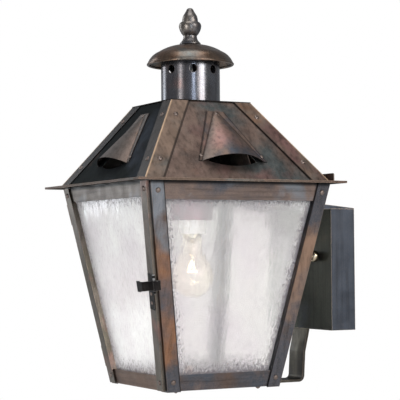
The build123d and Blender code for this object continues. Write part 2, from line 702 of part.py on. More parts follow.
def make_door():
    keep("door_stile_left", door_stile("left"))
    keep("door_stile_right", door_stile("right"))
    keep("door_top_rail", door_rail(DOOR_TOP_RAIL_LOW_Z, DOOR_TOP_Z, DOOR_TOP_RAIL_LOW_Z))
    bottom_lip = DOOR_BOTTOM_RAIL_HIGH_Z - SHEET
    keep("door_bottom_rail", door_rail(DOOR_BOTTOM_Z, DOOR_BOTTOM_RAIL_HIGH_Z, bottom_lip))
    pane_in = DOOR_INSET + STILE_WIDTH - SHEET - 0.6
    pane = strip("front", DOOR_PANE_LOW_Z, DOOR_PANE_HIGH_Z, DOOR_PANE_DEPTH,
                 DOOR_PANE_DEPTH + PANE, pane_in, pane_in)
    keep("door_pane", pane)
    rail_back = DOOR_RAIL_FRONT + SHEET
    behind = DOOR_PANE_DEPTH + PANE + CLEAR
    high_foot = DOOR_PANE_HIGH_Z + CLIP_GAP
    low_foot = DOOR_PANE_LOW_Z - CLIP_GAP
    clips = []
    for x in (-CLIP_HIGH_ALONG, CLIP_HIGH_ALONG):
        clips.append(pane_clip("front", x, high_foot, DOOR_CLIP_HIGH_Z, rail_back, behind))
    for x in (-DOOR_CLIP_LOW_ALONG, DOOR_CLIP_LOW_ALONG):
        clips.append(pane_clip("front", x, low_foot, CLIP_LOW_Z, rail_back, behind))
    keep("door_clips", clips)

    rivets = []
    middle = DOOR_INSET + STILE_WIDTH / 2
    for z in (DOOR_RIVET_HIGH_Z, DOOR_RIVET_LOW_Z):
        for along in (-half(z) + middle, half(z) - middle):
            rivets.append(side_frame("front", along, z, -DOOR_PROUD).location * RIVET)
    for along in LATCH_RIVETS:
        rivets.append(latch_frame().location * Pos(LATCH_STRIP_X, along, LATCH_SHEET) * SMALL_RIVET)
    keep("door_rivets", rivets)

    keep("hinge_post_leaves", [hinge_leaf(z, False) for z in HINGE_HEIGHTS])
    keep("hinge_door_leaves", [hinge_leaf(z, True) for z in HINGE_HEIGHTS])
    pin = Cylinder(HINGE_PIN_R, HINGE_LONG)
    keep("hinge_pins", [hinge_frame(z).location * pin for z in HINGE_HEIGHTS])


# ---------------------------------------------------------------- latch
def latch_frame():
    """Plane on the right stile's face: x across it, y up along it, z outwards."""
    middle = DOOR_INSET + STILE_WIDTH / 2
    face = side_frame("front", half(LATCH_Z) - middle, LATCH_Z, -DOOR_PROUD)
    rise = BODY_TOP_Z - BODY_BOTTOM_Z
    along = Vector(TOP_HALF - BOTTOM_HALF, BOTTOM_REACH - TOP_REACH, rise).normalized()
    across = along.cross(face.z_dir)
    return Plane(origin=face.origin, x_dir=across, z_dir=face.z_dir)


def upright(x, z, radius, low, high):
    """Cylinder along the stile at x across and z out from its face."""
    post = Rot(-90, 0, 0) * Cylinder(radius, high - low, align=(Align.CENTER, Align.CENTER, Align.MIN))
    return Pos(x, low, z) * post


def latch_lever():
    """Bent strip on its knuckle: thumb tab to the left, nose hooked past the post's corner."""
    x, z = LATCH_PIN
    low, high = LEVER_LONG
    middle = (low + high) / 2
    corner = (STILE_WIDTH / 2 + DOOR_INSET) * math.cos(math.atan(SIDE_LEAN))
    nose_x = corner + NOSE_OUTSIDE
    top = z + LATCH_KNUCKLE_R
    thick = LATCH_SHEET
    nose = Polyline((x, top - thick), (x, top), (nose_x, top), (nose_x + thick, top - 2.5),
                    (nose_x + thick, NOSE_LOW), (nose_x, NOSE_LOW), (nose_x, top - 2.9), (x, top - thick))
    nose_plane = Plane(origin=(0, high, 0), x_dir=(1, 0, 0), z_dir=(0, -1, 0))
    lever = upright(x, z, LATCH_KNUCKLE_R, low, high) + slab(nose_plane, nose, high - low)

    rise, bend, ease = ARM_ANGLES
    start = (x, top - thick / 2)
    heading = (-math.cos(math.radians(rise)), math.sin(math.radians(rise)))
    shank = Line(start, (x + ARM_SHANK * heading[0], start[1] + ARM_SHANK * heading[1]))
    out = JernArc(shank @ 1, heading, ARM_BEND_R, rise - bend)
    back = JernArc(out @ 1, out % 1, ARM_BEND_R, bend - ease)
    end = back % 1
    tab = Line(back @ 1, back @ 1 + end * TAB_LONG)
    level = Plane(origin=(0, middle, 0), x_dir=(1, 0, 0), z_dir=(0, -1, 0))
    path = level * (shank + out + back + tab)
    section = Plane(origin=path @ 0, x_dir=(0, 1, 0), z_dir=path % 0)
    arm = sweep(section * Rectangle(high - low - 0.8, thick), path=path)
    along = path % 1
    thumb_long = TAB_LONG * 0.7
    thumb_middle = path @ 1 - along * thumb_long / 2
    thumb = Plane(origin=thumb_middle, x_dir=(0, 1, 0), z_dir=along.cross(Vector(0, 1, 0)))
    arm += thumb.location * Box(TAB_TALL, thumb_long, thick)
    tilt = Pos(x, middle, 0) * Rot(0, 0, ARM_DROOP) * Pos(-x, -middle, 0)
    return lever + tilt * arm - upright(x, z, LATCH_BORE_R, low - 2, high + 2)


def make_latch():
    place = latch_frame().location
    x, z = LATCH_PIN
    low, high = LATCH_STRIP_LONG
    plate = Box(2 * LATCH_STRIP_HALF, high - low, LATCH_SHEET)
    plate = Pos(LATCH_STRIP_X, (low + high) / 2, LATCH_SHEET / 2) * plate
    corner = (Align.MIN, Align.MIN, Align.MIN)
    for start, stop in LATCH_KNUCKLES:
        tab = Box(x - LATCH_STRIP_HALF + 0.5, stop - start, LATCH_SHEET, align=corner)
        plate += Pos(LATCH_STRIP_HALF - 0.5, start, 0) * tab
        plate += upright(x, z, LATCH_KNUCKLE_R, start, stop)
    plate -= upright(x, z, LATCH_BORE_R, low, high + 4)
    keep("latch_bracket", place * plate)
    pin = upright(x, z, LATCH_PIN_R, LATCH_KNUCKLES[1][0] - 0.6, LATCH_KNUCKLES[0][1] + 0.2)
    pin += Pos(x, LATCH_KNUCKLES[0][1] + 0.2, z) * Rot(-90, 0, 0) * dome_head(1.8, 1.0)
    keep("latch_pin", place * pin)
    keep("latch_lever", place * latch_lever())

    turns = Helix(pitch=SPRING_PITCH, height=SPRING_TALL, radius=SPRING_R)
    wire = sweep(Plane(origin=turns @ 0, z_dir=turns % 0) * Circle(SPRING_WIRE_R), path=turns)
    leg = Cylinder(SPRING_WIRE_R, SPRING_LEG, align=(Align.CENTER, Align.CENTER, Align.MIN))
    spring = wire + Pos(turns @ 0) * Rot(90, 0, 0) * leg
    keep("latch_spring", place * Pos(x, SPRING_UP, z) * Rot(-90, 0, 0) * Rot(0, 0, 90) * spring)


# ---------------------------------------------------------------- lamp
def make_lamp():
    bridge = Box(2 * BRIDGE_HALF, BRIDGE_STRIP, BRIDGE_SHEET)
    bridge = Pos(0, 0, EAVE_TOP_Z + BRIDGE_SHEET / 2) * bridge
    keep("socket_bridge", bridge - Pos(0, 0, EAVE_TOP_Z) * Cylinder(NIPPLE_HOLE_R, 20))
    bridge_top = EAVE_TOP_Z + BRIDGE_SHEET
    for x in (-BRIDGE_RIVET_X, BRIDGE_RIVET_X):
        SMALL_RIVETS.append(Pos(x, AXIS_Y, bridge_top) * SMALL_RIVET)
    keep("socket_nipple", tube_ring(NIPPLE_R, NIPPLE_BORE_R, *NIPPLE_Z))

    low, high = CUP_Z
    cup = Pos(0, 0, low) * extrude(Circle(CUP_R), high - low)
    cup -= Pos(0, 0, low - 1) * extrude(Circle(CUP_R - SHEET), high - low - SHEET + 1)
    cup = fillet(cup.edges().filter_by(GeomType.CIRCLE).sort_by(Axis.Z)[-1:], 3.0)
    keep("socket_cup", cup - Pos(0, 0, high) * Cylinder(NIPPLE_HOLE_R, 20))

    low, high = SOCKET_Z
    body = Pos(0, 0, low) * extrude(Circle(SOCKET_R), high - low)
    body -= Pos(0, 0, low - 1) * extrude(Circle(SOCKET_BORE_R), SOCKET_BORE_DEEP + 1)
    body -= Pos(0, 0, NIPPLE_Z[0] - 0.5) * extrude(Circle(NIPPLE_R + THREAD), 20)
    body = chamfer(body.edges().filter_by(GeomType.CIRCLE).sort_by(Axis.Z)[-1:], 0.6)
    keep("lamp_socket", body)


def bulb_line(inset):
    """Half section of the bulb's outside, or of its inside when inset."""
    globe = GLOBE_R - inset
    bottom = (0, GLOBE_Z - globe)
    angle = math.radians(32)
    low_angle = math.radians(-30)
    side = (globe * math.cos(angle), GLOBE_Z + globe * math.sin(angle))
    low_side = (globe * math.cos(low_angle), GLOBE_Z + globe * math.sin(low_angle))
    neck = (NECK_R - inset, NECK_Z)
    mouth = (BASE_R + 0.3 - inset, BASE_Z[0])
    line = ThreePointArc(bottom, low_side, side)
    line += Spline(side, neck, tangents=[(-math.sin(angle), math.cos(angle)), (-0.08, 1)])
    line += Line(neck, mouth)
    return line, bottom, mouth


def make_bulb():
    outer, outer_bottom, outer_mouth = bulb_line(0)
    inner, inner_bottom, inner_mouth = bulb_line(BULB_SHELL)
    outline = outer + inner + Line(outer_bottom, inner_bottom) + Line(outer_mouth, inner_mouth)
    keep("bulb_glass", revolve(make_face(Plane.XZ * outline), Axis.Z))
    low, high = BASE_Z
    outline = Polyline((0, low), (BASE_R, low), (BASE_R, high - 5), (5, high - 1.2))
    outline += Polyline((5, high - 1.2), (3, high), (0, high), (0, low))
    keep("bulb_base", revolve(make_face(Plane.XZ * outline), Axis.Z))
    outline = Polyline((0, low), (9.0, low), (4.4, low - 8), (3.4, STEM_END_Z), (0, STEM_END_Z), (0, low))
    keep("bulb_stem", revolve(make_face(Plane.XZ * outline), Axis.Z))
    wires = []
    for sign in (-1, 1):
        start = (sign * 1.6, 0, STEM_END_Z)
        route = Polyline(start, (sign * 1.8, 0, STEM_END_Z - 3), (sign * 9.0, 0, FILAMENT_Z))
        wires.append(sweep(Plane(origin=start, z_dir=(0, 0, -1)) * Circle(FILAMENT_WIRE_R), path=route))
    coil = Pos(0, 0, FILAMENT_Z) * Rot(0, 90, 0) * Cylinder(FILAMENT_R, FILAMENT_LONG)
    keep("bulb_filament", wires[0] + wires[1] + coil)


# ---------------------------------------------------------------- wall box and arms
def make_wall_box():
    size = 2 * BOX_HALF
    centre = Pos(0, -BOX_DEPTH / 2, BOX_CENTRE_Z)
    inner = size - 2 * SHEET
    box = centre * (Box(size, BOX_DEPTH, size) - Box(inner, BOX_DEPTH - 2 * SHEET, inner))
    hollow = size - 2 * BOX_LIP
    box -= Pos(0, 0, BOX_CENTRE_Z) * Box(hollow, 10, hollow)
    for x in (-STUD_X, STUD_X):
        box -= Pos(x, -BOX_DEPTH, 0) * Rot(90, 0, 0) * Cylinder(STUD_HOLE_R, 10)
    top = BOX_CENTRE_Z + BOX_HALF
    bottom = BOX_CENTRE_Z - BOX_HALF
    box -= Pos(0, TUBE_WALL_Y, top) * Cylinder(NIPPLE_HOLE_R, 10)
    slot = Box(HOLDER_WIDTH + 0.6, HOLDER + 0.4, 10, align=(Align.CENTER, Align.MIN, Align.CENTER))
    box -= Pos(0, -BOX_DEPTH + SHEET, bottom) * slot
    keep("wall_box", box, on_lantern=False)


def make_crossbar():
    bar = Pos(0, -CROSSBAR / 2, 0) * Box(2 * CROSSBAR_HALF, CROSSBAR, CROSSBAR_TALL)
    ends = bar.edges().filter_by(Axis.Y)
    bar = fillet(ends, 4.0)
    for x in (-SLOT_X, SLOT_X):
        slot = extrude(SlotOverall(SLOT_LONG, 2 * SLOT_HALF), 10, both=True)
        bar -= Pos(x, 0, 0) * Rot(90, 0, 0) * slot
    for x in (-STUD_X, STUD_X):
        bar -= Pos(x, 0, 0) * Rot(90, 0, 0) * Cylinder(STUD_R + THREAD, 10)
    keep("crossbar", bar, on_lantern=False)
    tip = BALL_Y - 1.0
    stud = Cylinder(STUD_R, -tip, align=(Align.CENTER, Align.CENTER, Align.MIN))
    studs = [Pos(x, 0, 0) * Rot(90, 0, 0) * stud for x in (-STUD_X, STUD_X)]
    keep("box_studs", studs, on_lantern=False)
    nut = Rot(90, 0, 0) * hex_nut(NUT_ACROSS, NUT, STUD_R + THREAD)
    fasteners = [Pos(x, -CROSSBAR, 0) * nut for x in (-STUD_X, STUD_X)]
    ball = Pos(0, BALL_Y, 0) * Sphere(BALL_R)
    behind_face = Box(40, 2 * BOX_DEPTH, 40, align=(Align.CENTER, Align.MIN, Align.CENTER))
    ball -= Pos(0, -BOX_DEPTH, 0) * behind_face
    hole = Cylinder(STUD_R + THREAD, 1.0 - tip, align=(Align.CENTER, Align.CENTER, Align.MIN))
    ball -= Rot(90, 0, 0) * hole
    keep("cap_nuts", [Pos(x, 0, 0) * ball for x in (-STUD_X, STUD_X)], on_lantern=False)
    head = Rot(90, 0, 0) * dome_head(GROUND_SCREW_R, GROUND_SCREW_TALL)
    screw = Pos(GROUND_SCREW_X, -CROSSBAR, 0) * head
    keep("stud_nuts_and_ground_screw", fasteners + [screw], on_lantern=False)


def make_top_arm():
    """Sloped plate from the wall box's top to the back top rail, with side lips."""
    def plate_z(y):
        return ARM_WALL_Z - ARM_RISE * y

    def rail_y(z):
        return AXIS_Y + half(z) - RAIL_DEPTH + THREAD
    low_z, high_z = ARM_TAB_LOW_Z, ARM_TAB_TOP_Z
    foot = rail_y(low_z)
    profile = Polyline((0, plate_z(0) - SHEET), (foot, plate_z(foot) - SHEET), (rail_y(high_z), high_z),
                       (rail_y(high_z) + SHEET, high_z), (foot + SHEET, plate_z(foot + SHEET)),
                       (0, plate_z(0)), (0, plate_z(0) - SHEET))
    side_view = Plane(origin=(-ARM_HALF, 0, 0), x_dir=(0, 1, 0), z_dir=(1, 0, 0))
    plate = slab(side_view, profile, 2 * ARM_HALF)
    box_top = BOX_CENTRE_Z + BOX_HALF + THREAD
    front = -BOX_DEPTH - 0.2
    lip = Polyline((0, plate_z(0)), (0, box_top), (front, box_top), (front - 4, plate_z(front) - 6),
                   (foot + 5, plate_z(foot) - 6), (foot + 2, plate_z(foot + 2)), (0, plate_z(0)))
    side_lip = slab(side_view, lip, SHEET)
    plate += side_lip + Pos(2 * ARM_HALF - SHEET, 0, 0) * side_lip
    plate -= Pos(0, TUBE_WALL_Y, 70) * Cylinder(NIPPLE_HOLE_R, 20)
    plate -= Pos(0, rail_y(TUBE_Z), TUBE_Z) * Rot(90, 0, 0) * Cylinder(NIPPLE_HOLE_R, 20)
    keep("top_arm", plate, on_lantern=False)

    for x in ARM_TAB_RIVETS_X:
        plane = side_frame("back", x, ARM_TAB_RIVETS_Z, RAIL_DEPTH - SHEET)
        add_rivet(SMALL_RIVETS, plane, SMALL_RIVET)
    for x in ARM_BOX_RIVETS_X:
        for y in ARM_BOX_RIVETS_Y:
            top = frame_at((x, y, plate_z(y)), (0, ARM_RISE, 1), (1, 0, 0))
            add_rivet(SMALL_RIVETS, top, SMALL_RIVET, on_lantern=False)


def make_wire_tube():
    start = (0, AXIS_Y + TUBE_MOUTH_Y, TUBE_Z)
    bend, end = (0, TUBE_WALL_Y, TUBE_Z), (0, TUBE_WALL_Y, TUBE_END_Z)
    route = FilletPolyline(start, bend, end, radius=TUBE_BEND_R)
    ring = Circle(NIPPLE_R) - Circle(NIPPLE_BORE_R)
    tube = sweep(Plane(origin=start, x_dir=(1, 0, 0), z_dir=(0, 1, 0)) * ring, path=route)
    keep("wire_tube", tube, on_lantern=False)
    cup_top = CUP_Z[1]
    heights = (EAVE_TOP_Z + BRIDGE_SHEET, cup_top, cup_top - SHEET - LOCKNUT)
    nuts = [Pos(0, AXIS_Y, z) * LOCKNUT_RING for z in heights]
    rail_inside = AXIS_Y + half(TUBE_Z - 8) - RAIL_BACK - 0.2
    nuts.append(Pos(0, rail_inside, TUBE_Z) * Rot(90, 0, 0) * LOCKNUT_RING)
    box_ceiling = BOX_CENTRE_Z + BOX_HALF - SHEET
    nuts.append(Pos(0, TUBE_WALL_Y, box_ceiling - LOCKNUT) * LOCKNUT_RING)
    keep("lock_nuts", nuts, on_lantern=False)


def make_bottom_arm():
    """Flat bar bent like a J: down inside the wall box, out below it and under the lantern."""
    inside = -BOX_DEPTH + SHEET + CLEAR + HOLDER / 2
    under = HOLDER_TOP_Z - HOLDER / 2
    points = [(0, inside, HOLDER_START_Z), (0, inside, -104.8), (0, -43.4, -136), (0, -45.9, under)]
    points.append((0, AXIS_Y - 14, under))
    route = FilletPolyline(*points, radius=HOLDER_BEND_R)
    start = Plane(origin=points[0], x_dir=(1, 0, 0), z_dir=(0, 0, -1))
    section = start * Rectangle(HOLDER_WIDTH, HOLDER)
    keep("bottom_arm", sweep(section, path=route), on_lantern=False)
    for z in HOLDER_BOX_RIVETS_Z:
        RIVETS.append(Pos(0, -BOX_DEPTH, z) * Rot(90, 0, 0) * RIVET)
    for y in HOLDER_PLATE_RIVETS_Y:
        RIVETS.append(Pos(0, AXIS_Y + y, HOLDER_TOP_Z - HOLDER) * Rot(180, 0, 0) * RIVET)


def main():
    make_frame()
    make_bottom()
    make_panes()
    make_roof()
    make_eave()
    make_chimney()
    make_cap()
    make_finial()
    make_door()
    make_latch()
    make_lamp()
    make_bulb()
    make_wall_box()
    make_crossbar()
    make_top_arm()
    make_wire_tube()
    make_bottom_arm()
    keep("rivets", RIVETS, on_lantern=False)
    keep("small_rivets", SMALL_RIVETS, on_lantern=False)
    os.makedirs("parts", exist_ok=True)
    for name, shape in NODES.items():
        export_step(shape, f"parts/{name}.step")


main()
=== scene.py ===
import bpy
import bmesh
import math
from mathutils import Matrix, Vector

# Outdoor wall lantern of patinated copper, with seeded glass and a lit bulb.
# Lengths are in metres, and heights are above the middle of the wall box's crossbar.
# Every look is a procedural material on the frame's own meshes.

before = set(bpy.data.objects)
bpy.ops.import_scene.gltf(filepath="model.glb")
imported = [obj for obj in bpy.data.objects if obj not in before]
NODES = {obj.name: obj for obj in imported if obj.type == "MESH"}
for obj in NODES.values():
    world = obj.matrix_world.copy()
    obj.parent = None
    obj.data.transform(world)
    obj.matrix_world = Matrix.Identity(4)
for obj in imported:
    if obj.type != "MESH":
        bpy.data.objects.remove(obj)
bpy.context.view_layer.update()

# Where the body and the roof have the edges that the materials follow.
AXIS_Y = -0.2145                # the lantern's upright centre line
SIDE_LEAN = 52.5 / 277.3        # the body's sides, level distance per height
HALF_AT_ZERO = 0.1209           # the body's half width at height 0
FRONT_GAP = 0.0068              # how much nearer the centre line the front face is, at height 0
FRONT_GAP_LEAN = 0.0130         # how much that gap grows per height
POST_LEG = 0.0182               # a post leg's width, from the body's corner to its lip
EAVE_SHADE_Z = (0.0940, 0.0975)      # where the shade below the eave begins, and where it is full
STRAP_WIDTH = 0.0265            # a hip strap's flange, measured level
FLANGE_EDGE = (0.1194, 0.5405)       # scoop flange: half width at height 0, and loss per height
HOOD_EDGE = (0.12835, 0.6377)        # scoop hood, where it meets its flange
FLANGE_Z = (0.1265, 0.1965)     # a scoop flange's lowest and highest points
MOUTH_SHADE_Z = (0.116, 0.1255)      # the shade on the roof below a scoop's mouth
MOUTH_SHADE_HALF = (0.026, 0.050)    # where that shade begins to fade sideways, and where it ends
PANE_SIDE = (0.019, 0.038)      # speckled border of a pane, measured level from the body's corner
PANE_BOTTOM_Z = (-0.156, -0.130)
PANE_TOP_Z = (0.060, 0.082)
STRAP_SHADE = (STRAP_WIDTH - 0.0008, STRAP_WIDTH + 0.0006)    # painted shade along a strap's edge
STRAP_SHADE_BLUR = 0.0012
SCOOP_SHADE_FADE = (0.0005, 0.0019)   # the painted shade line round a scoop fades between these distances
HIP_FADE = (0.0006, 0.0024)          # and the bright line along a hip between these
LIP_BLUR = 0.0003

SPREAD = (0.3, 0.7)             # most of a noise's values lie between these

# Lumps per metre along X, Y and Z.
UPWARDS = (190, 190, 10)        # streaks that run up and down
LEVEL = (14, 14, 230)           # streaks that run level
RIPPLES = (70, 70, 16)
FINE_RIPPLES = (420, 420, 120)
SEEDS = (190, 190, 90)
GLASS_CLOUDS = (14, 14, 9)
GLASS_STREAKS = (520, 520, 45)
GRIT = (480, 480, 190)
THREADS = (380, 380, 22)

# Tones of the copper.
BROWN = (0.205, 0.142, 0.115)
TAN = (0.245, 0.172, 0.130)
UMBER = (0.088, 0.060, 0.050)
SLATE = (0.055, 0.064, 0.080)
STEEL = (0.165, 0.185, 0.210)
TEAL = (0.085, 0.100, 0.100)
ORANGE = (0.225, 0.108, 0.058)
PINK = (0.230, 0.130, 0.115)
OLIVE = (0.085, 0.078, 0.060)
WORN = (0.300, 0.210, 0.150)
BRIGHT = (0.660, 0.520, 0.390)
FRESH = (0.660, 0.460, 0.300)        # bare metal along the hips
GRIME = (0.012, 0.011, 0.011)
DUST = (0.400, 0.310, 0.250)
# the tone of the painted shade along a post's lip
LIP_SHADE = (0.006, 0.006, 0.007)
# the tone of the painted shade beside the roof's straps and scoops and below the scoops' mouths
ROOF_SHADE_TONE = (0.008, 0.008, 0.009)
EAVE_SHADE = (0.006, 0.006, 0.006)
DOWNWARD_SHADE = ("-Z", (0.004, 0.004, 0.004))        # painted shade on everything that faces down, such as the roof's and eave's undersides and the scoops' insides


# ---------------------------------------------------------------- node helpers
def new_material(name):
    material = bpy.data.materials.new(name)
    material.use_nodes = True
    return material, material.node_tree, material.node_tree.nodes["Principled BSDF"]


def node(tree, kind, values=None, **settings):
    made = tree.nodes.new(kind)
    for key, value in settings.items():
        setattr(made, key, value)
    for key, value in (values or {}).items():
        made.inputs[key].default_value = value
    return made


def place(tree, scale, shift=0.0):
    """Object coordinates, stretched by a scale for each axis and shifted to vary the pattern."""
    coords = node(tree, "ShaderNodeTexCoord")
    mapping = node(tree, "ShaderNodeMapping", {"Scale": scale, "Location": (shift, shift * 0.7, shift * 1.3)})
    tree.links.new(coords.outputs["Object"], mapping.inputs["Vector"])
    return mapping.outputs["Vector"]


def noise(tree, scale, shift=0.0, detail=4.0, roughness=0.55, distortion=0.0):
    """Noise at a number of lumps per metre, for all axes or for each."""
    scale = (scale,) * 3 if isinstance(scale, (int, float)) else scale
    values = {"Scale": 1.0, "Detail": detail, "Roughness": roughness, "Distortion": distortion}
    made = node(tree, "ShaderNodeTexNoise", values)
    tree.links.new(place(tree, scale, shift), made.inputs["Vector"])
    return made.outputs["Fac"]


def span(tree, source, low, high, to_low=0.0, to_high=1.0):
    """Map a value from one range to another, held at the ends."""
    limits = {"From Min": low, "From Max": high, "To Min": to_low, "To Max": to_high}
    made = node(tree, "ShaderNodeMapRange", limits)
    tree.links.new(source, made.inputs["Value"])
    return made.outputs["Result"]


def feed(tree, socket, value):
    """Give a socket a link, a number or a colour."""
    if isinstance(value, bpy.types.NodeSocket):
        tree.links.new(value, socket)
    elif isinstance(value, tuple):
        socket.default_value = (*value, 1.0)
    else:
        socket.default_value = value


def mix_colour(tree, factor, first, second):
    made = node(tree, "ShaderNodeMix", data_type="RGBA")
    feed(tree, made.inputs["Factor"], factor)
    feed(tree, made.inputs["A"], first)
    feed(tree, made.inputs["B"], second)
    return made.outputs["Result"]


def calculate(tree, operation, first, second=0.0):
    made = node(tree, "ShaderNodeMath", operation=operation)
    feed(tree, made.inputs[0], first)
    feed(tree, made.inputs[1], second)
    return made.outputs[0]


def tint(tree, colour, mask, tone, amount=1.0):
    """Mix a tone into a colour where a mask is one, up to an amount."""
    return mix_colour(tree, calculate(tree, "MULTIPLY", mask, amount), colour, tone)


def mix_shaders(tree, factor, first, second):
    made = node(tree, "ShaderNodeMixShader")
    tree.links.new(factor, made.inputs["Fac"])
    tree.links.new(first, made.inputs[1])
    tree.links.new(second, made.inputs[2])
    return made.outputs["Shader"]


def bump(tree, shader, height, strength, distance):
    made = node(tree, "ShaderNodeBump", {"Strength": strength, "Distance": distance})
    tree.links.new(height, made.inputs["Height"])
    tree.links.new(made.outputs["Normal"], shader.inputs["Normal"])


# ---------------------------------------------------------------- masks
def band(tree, value, low, high, blur):
    """One between two values, fading to nothing over a blur outside them."""
    rising = span(tree, value, low - blur, low)
    falling = span(tree, value, high, high + blur, 1.0, 0.0)
    return calculate(tree, "MULTIPLY", rising, falling)


def worn_edges(tree, radius):
    """One along sharp edges, where the true normal and a rounded one differ."""
    rounded = node(tree, "ShaderNodeBevel", {"Radius": radius}, samples=4)
    geometry = node(tree, "ShaderNodeNewGeometry")
    dot = node(tree, "ShaderNodeVectorMath", operation="DOT_PRODUCT")
    tree.links.new(rounded.outputs["Normal"], dot.inputs[0])
    tree.links.new(geometry.outputs["Normal"], dot.inputs[1])
    return span(tree, dot.outputs["Value"], 0.99, 0.80)


def facing(tree, axis):
    """One where the surface faces along an axis, X, Y or Z, with its sign: "-Z" is down."""
    geometry = node(tree, "ShaderNodeNewGeometry")
    parts = node(tree, "ShaderNodeSeparateXYZ")
    tree.links.new(geometry.outputs["Normal"], parts.inputs["Vector"])
    value = parts.outputs[axis[-1]]
    if axis[0] == "-":
        value = calculate(tree, "MULTIPLY", value, -1.0)
    return span(tree, value, 0.35, 0.65)


def position(tree):
    """The height, the level distance from the centre line along X, and the one along Y with its sign."""
    coords = node(tree, "ShaderNodeTexCoord")
    parts = node(tree, "ShaderNodeSeparateXYZ")
    tree.links.new(coords.outputs["Object"], parts.inputs["Vector"])
    across = calculate(tree, "ABSOLUTE", parts.outputs["X"])
    behind = calculate(tree, "SUBTRACT", parts.outputs["Y"], AXIS_Y)
    return parts.outputs["Z"], across, behind


def corner_distance(tree):
    """Level distance from the nearest upright corner of the body, along its faces."""
    height, across, behind = position(tree)
    gap = calculate(tree, "ADD", calculate(tree, "MULTIPLY", height, FRONT_GAP_LEAN), FRONT_GAP)
    before = calculate(tree, "SUBTRACT", gap, behind)
    deep = calculate(tree, "MAXIMUM", behind, before)
    half = calculate(tree, "ADD", calculate(tree, "MULTIPLY", height, SIDE_LEAN), HALF_AT_ZERO)
    return calculate(tree, "SUBTRACT", half, calculate(tree, "MINIMUM", across, deep))


def hip_distance(tree):
    """Level distance from the nearest hip of the roof."""
    _, across, behind = position(tree)
    deep = calculate(tree, "ABSOLUTE", behind)
    return calculate(tree, "ABSOLUTE", calculate(tree, "SUBTRACT", across, deep))


def roof_shade_mask(tree):
    """Painted shade: one along the hip straps' edges, round the scoops' flanges and below their mouths."""
    height, across, behind = position(tree)
    sideways = calculate(tree, "MINIMUM", across, calculate(tree, "ABSOLUTE", behind))
    dark = band(tree, hip_distance(tree), *STRAP_SHADE, STRAP_SHADE_BLUR)
    on_flange = band(tree, height, *FLANGE_Z, 0.001)
    for at_zero, lean in (FLANGE_EDGE, HOOD_EDGE):
        line = calculate(tree, "SUBTRACT", at_zero, calculate(tree, "MULTIPLY", height, lean))
        off = calculate(tree, "ABSOLUTE", calculate(tree, "SUBTRACT", line, sideways))
        near = calculate(tree, "MULTIPLY", on_flange, span(tree, off, *SCOOP_SHADE_FADE, 0.9, 0.0))
        dark = calculate(tree, "MAXIMUM", dark, near)
    below = band(tree, height, *MOUTH_SHADE_Z, 0.006)
    mouth = calculate(tree, "MULTIPLY", below, span(tree, sideways, *MOUTH_SHADE_HALF, 0.7, 0.0))
    return calculate(tree, "MAXIMUM", dark, mouth)


def pane_border(tree):
    """One at the edges of a pane."""
    height, _, _ = position(tree)
    sides = span(tree, corner_distance(tree), *PANE_SIDE, 1.0, 0.0)
    bottom = span(tree, height, *PANE_BOTTOM_Z, 1.0, 0.0)
    top = span(tree, height, *PANE_TOP_Z)
    return calculate(tree, "MAXIMUM", calculate(tree, "MAXIMUM", sides, bottom), top)


# ---------------------------------------------------------------- copper
def height_bands(tree, colour, bands, shift):
    """Tones between two heights, with a wandering, soft edge."""
    height, _, _ = position(tree)
    blur = 0.03
    for low, high, tone in bands:
        wander = span(tree, noise(tree, 22, shift + 9.0), *SPREAD, -blur, blur)
        inside = band(tree, calculate(tree, "ADD", height, wander), low, high, blur)
        colour = tint(tree, colour, inside, tone, 0.85)
    return colour


def clouds_over(tree, colour, layers, shift):
    """Clouds: each layer is a tone, its lumps per metre and the noise values it fades in between."""
    for index, (tone, scale, low, high) in enumerate(layers):
        field = noise(tree, scale, shift + 3.1 * index, detail=5.0, distortion=0.4)
        colour = mix_colour(tree, span(tree, field, low, high), colour, tone)
    return colour


def rubbed(tree, colour, shift, run, dust):
    """Grimy streaks along the run, and fine pale speckle."""
    streak = noise(tree, run, shift + 11.0, detail=3.0)
    colour = mix_colour(tree, span(tree, streak, 0.45, 0.72, 0.0, 0.45), colour, GRIME)
    speckle = noise(tree, 800, shift, detail=2.0)
    return mix_colour(tree, span(tree, speckle, 0.40, 0.75, 0.0, dust), colour, DUST)


def paint_roof_shade(tree, colour):
    """Painted shade: dark lines beside the hip straps and the scoops, and the shadow below the scoops'
    mouths.
    """
    return tint(tree, colour, roof_shade_mask(tree), ROOF_SHADE_TONE, 0.70)


def post_lip_shade(tree, colour):
    """Painted shade: a dark line along the edge of a post's leg, on the glass side."""
    inner = span(tree, corner_distance(tree), POST_LEG - LIP_BLUR, POST_LEG + LIP_BLUR, 0.0, 0.9)
    return mix_colour(tree, inner, colour, LIP_SHADE)


def eave_shade(tree, colour):
    """The shade just below the eave."""
    height, _, _ = position(tree)
    return mix_colour(tree, span(tree, height, *EAVE_SHADE_Z, 0.0, 0.9), colour, EAVE_SHADE)


def fresh_hip(tree, colour):
    """Metal rubbed bright along the hip."""
    return mix_colour(tree, span(tree, hip_distance(tree), *HIP_FADE, 0.85, 0.0), colour, FRESH)


def copper_surface(tree, shader, shift, rough, glint):
    """Smudges in the gloss, hammer dents and fine grain."""
    shader.inputs["Metallic"].default_value = 0.92
    shader.inputs["Specular Tint"].default_value = (glint, glint, glint, 1.0)
    smudge = noise(tree, 45, shift + 5.0, detail=6.0)
    tree.links.new(span(tree, smudge, *SPREAD, *rough), shader.inputs["Roughness"])
    dents = noise(tree, 16, shift + 2.0, detail=1.0)
    grain = noise(tree, 700, shift + 7.0, detail=2.0)
    relief = calculate(tree, "ADD", dents, calculate(tree, "MULTIPLY", grain, 0.02))
    bump(tree, shader, relief, 0.5, 0.0025)


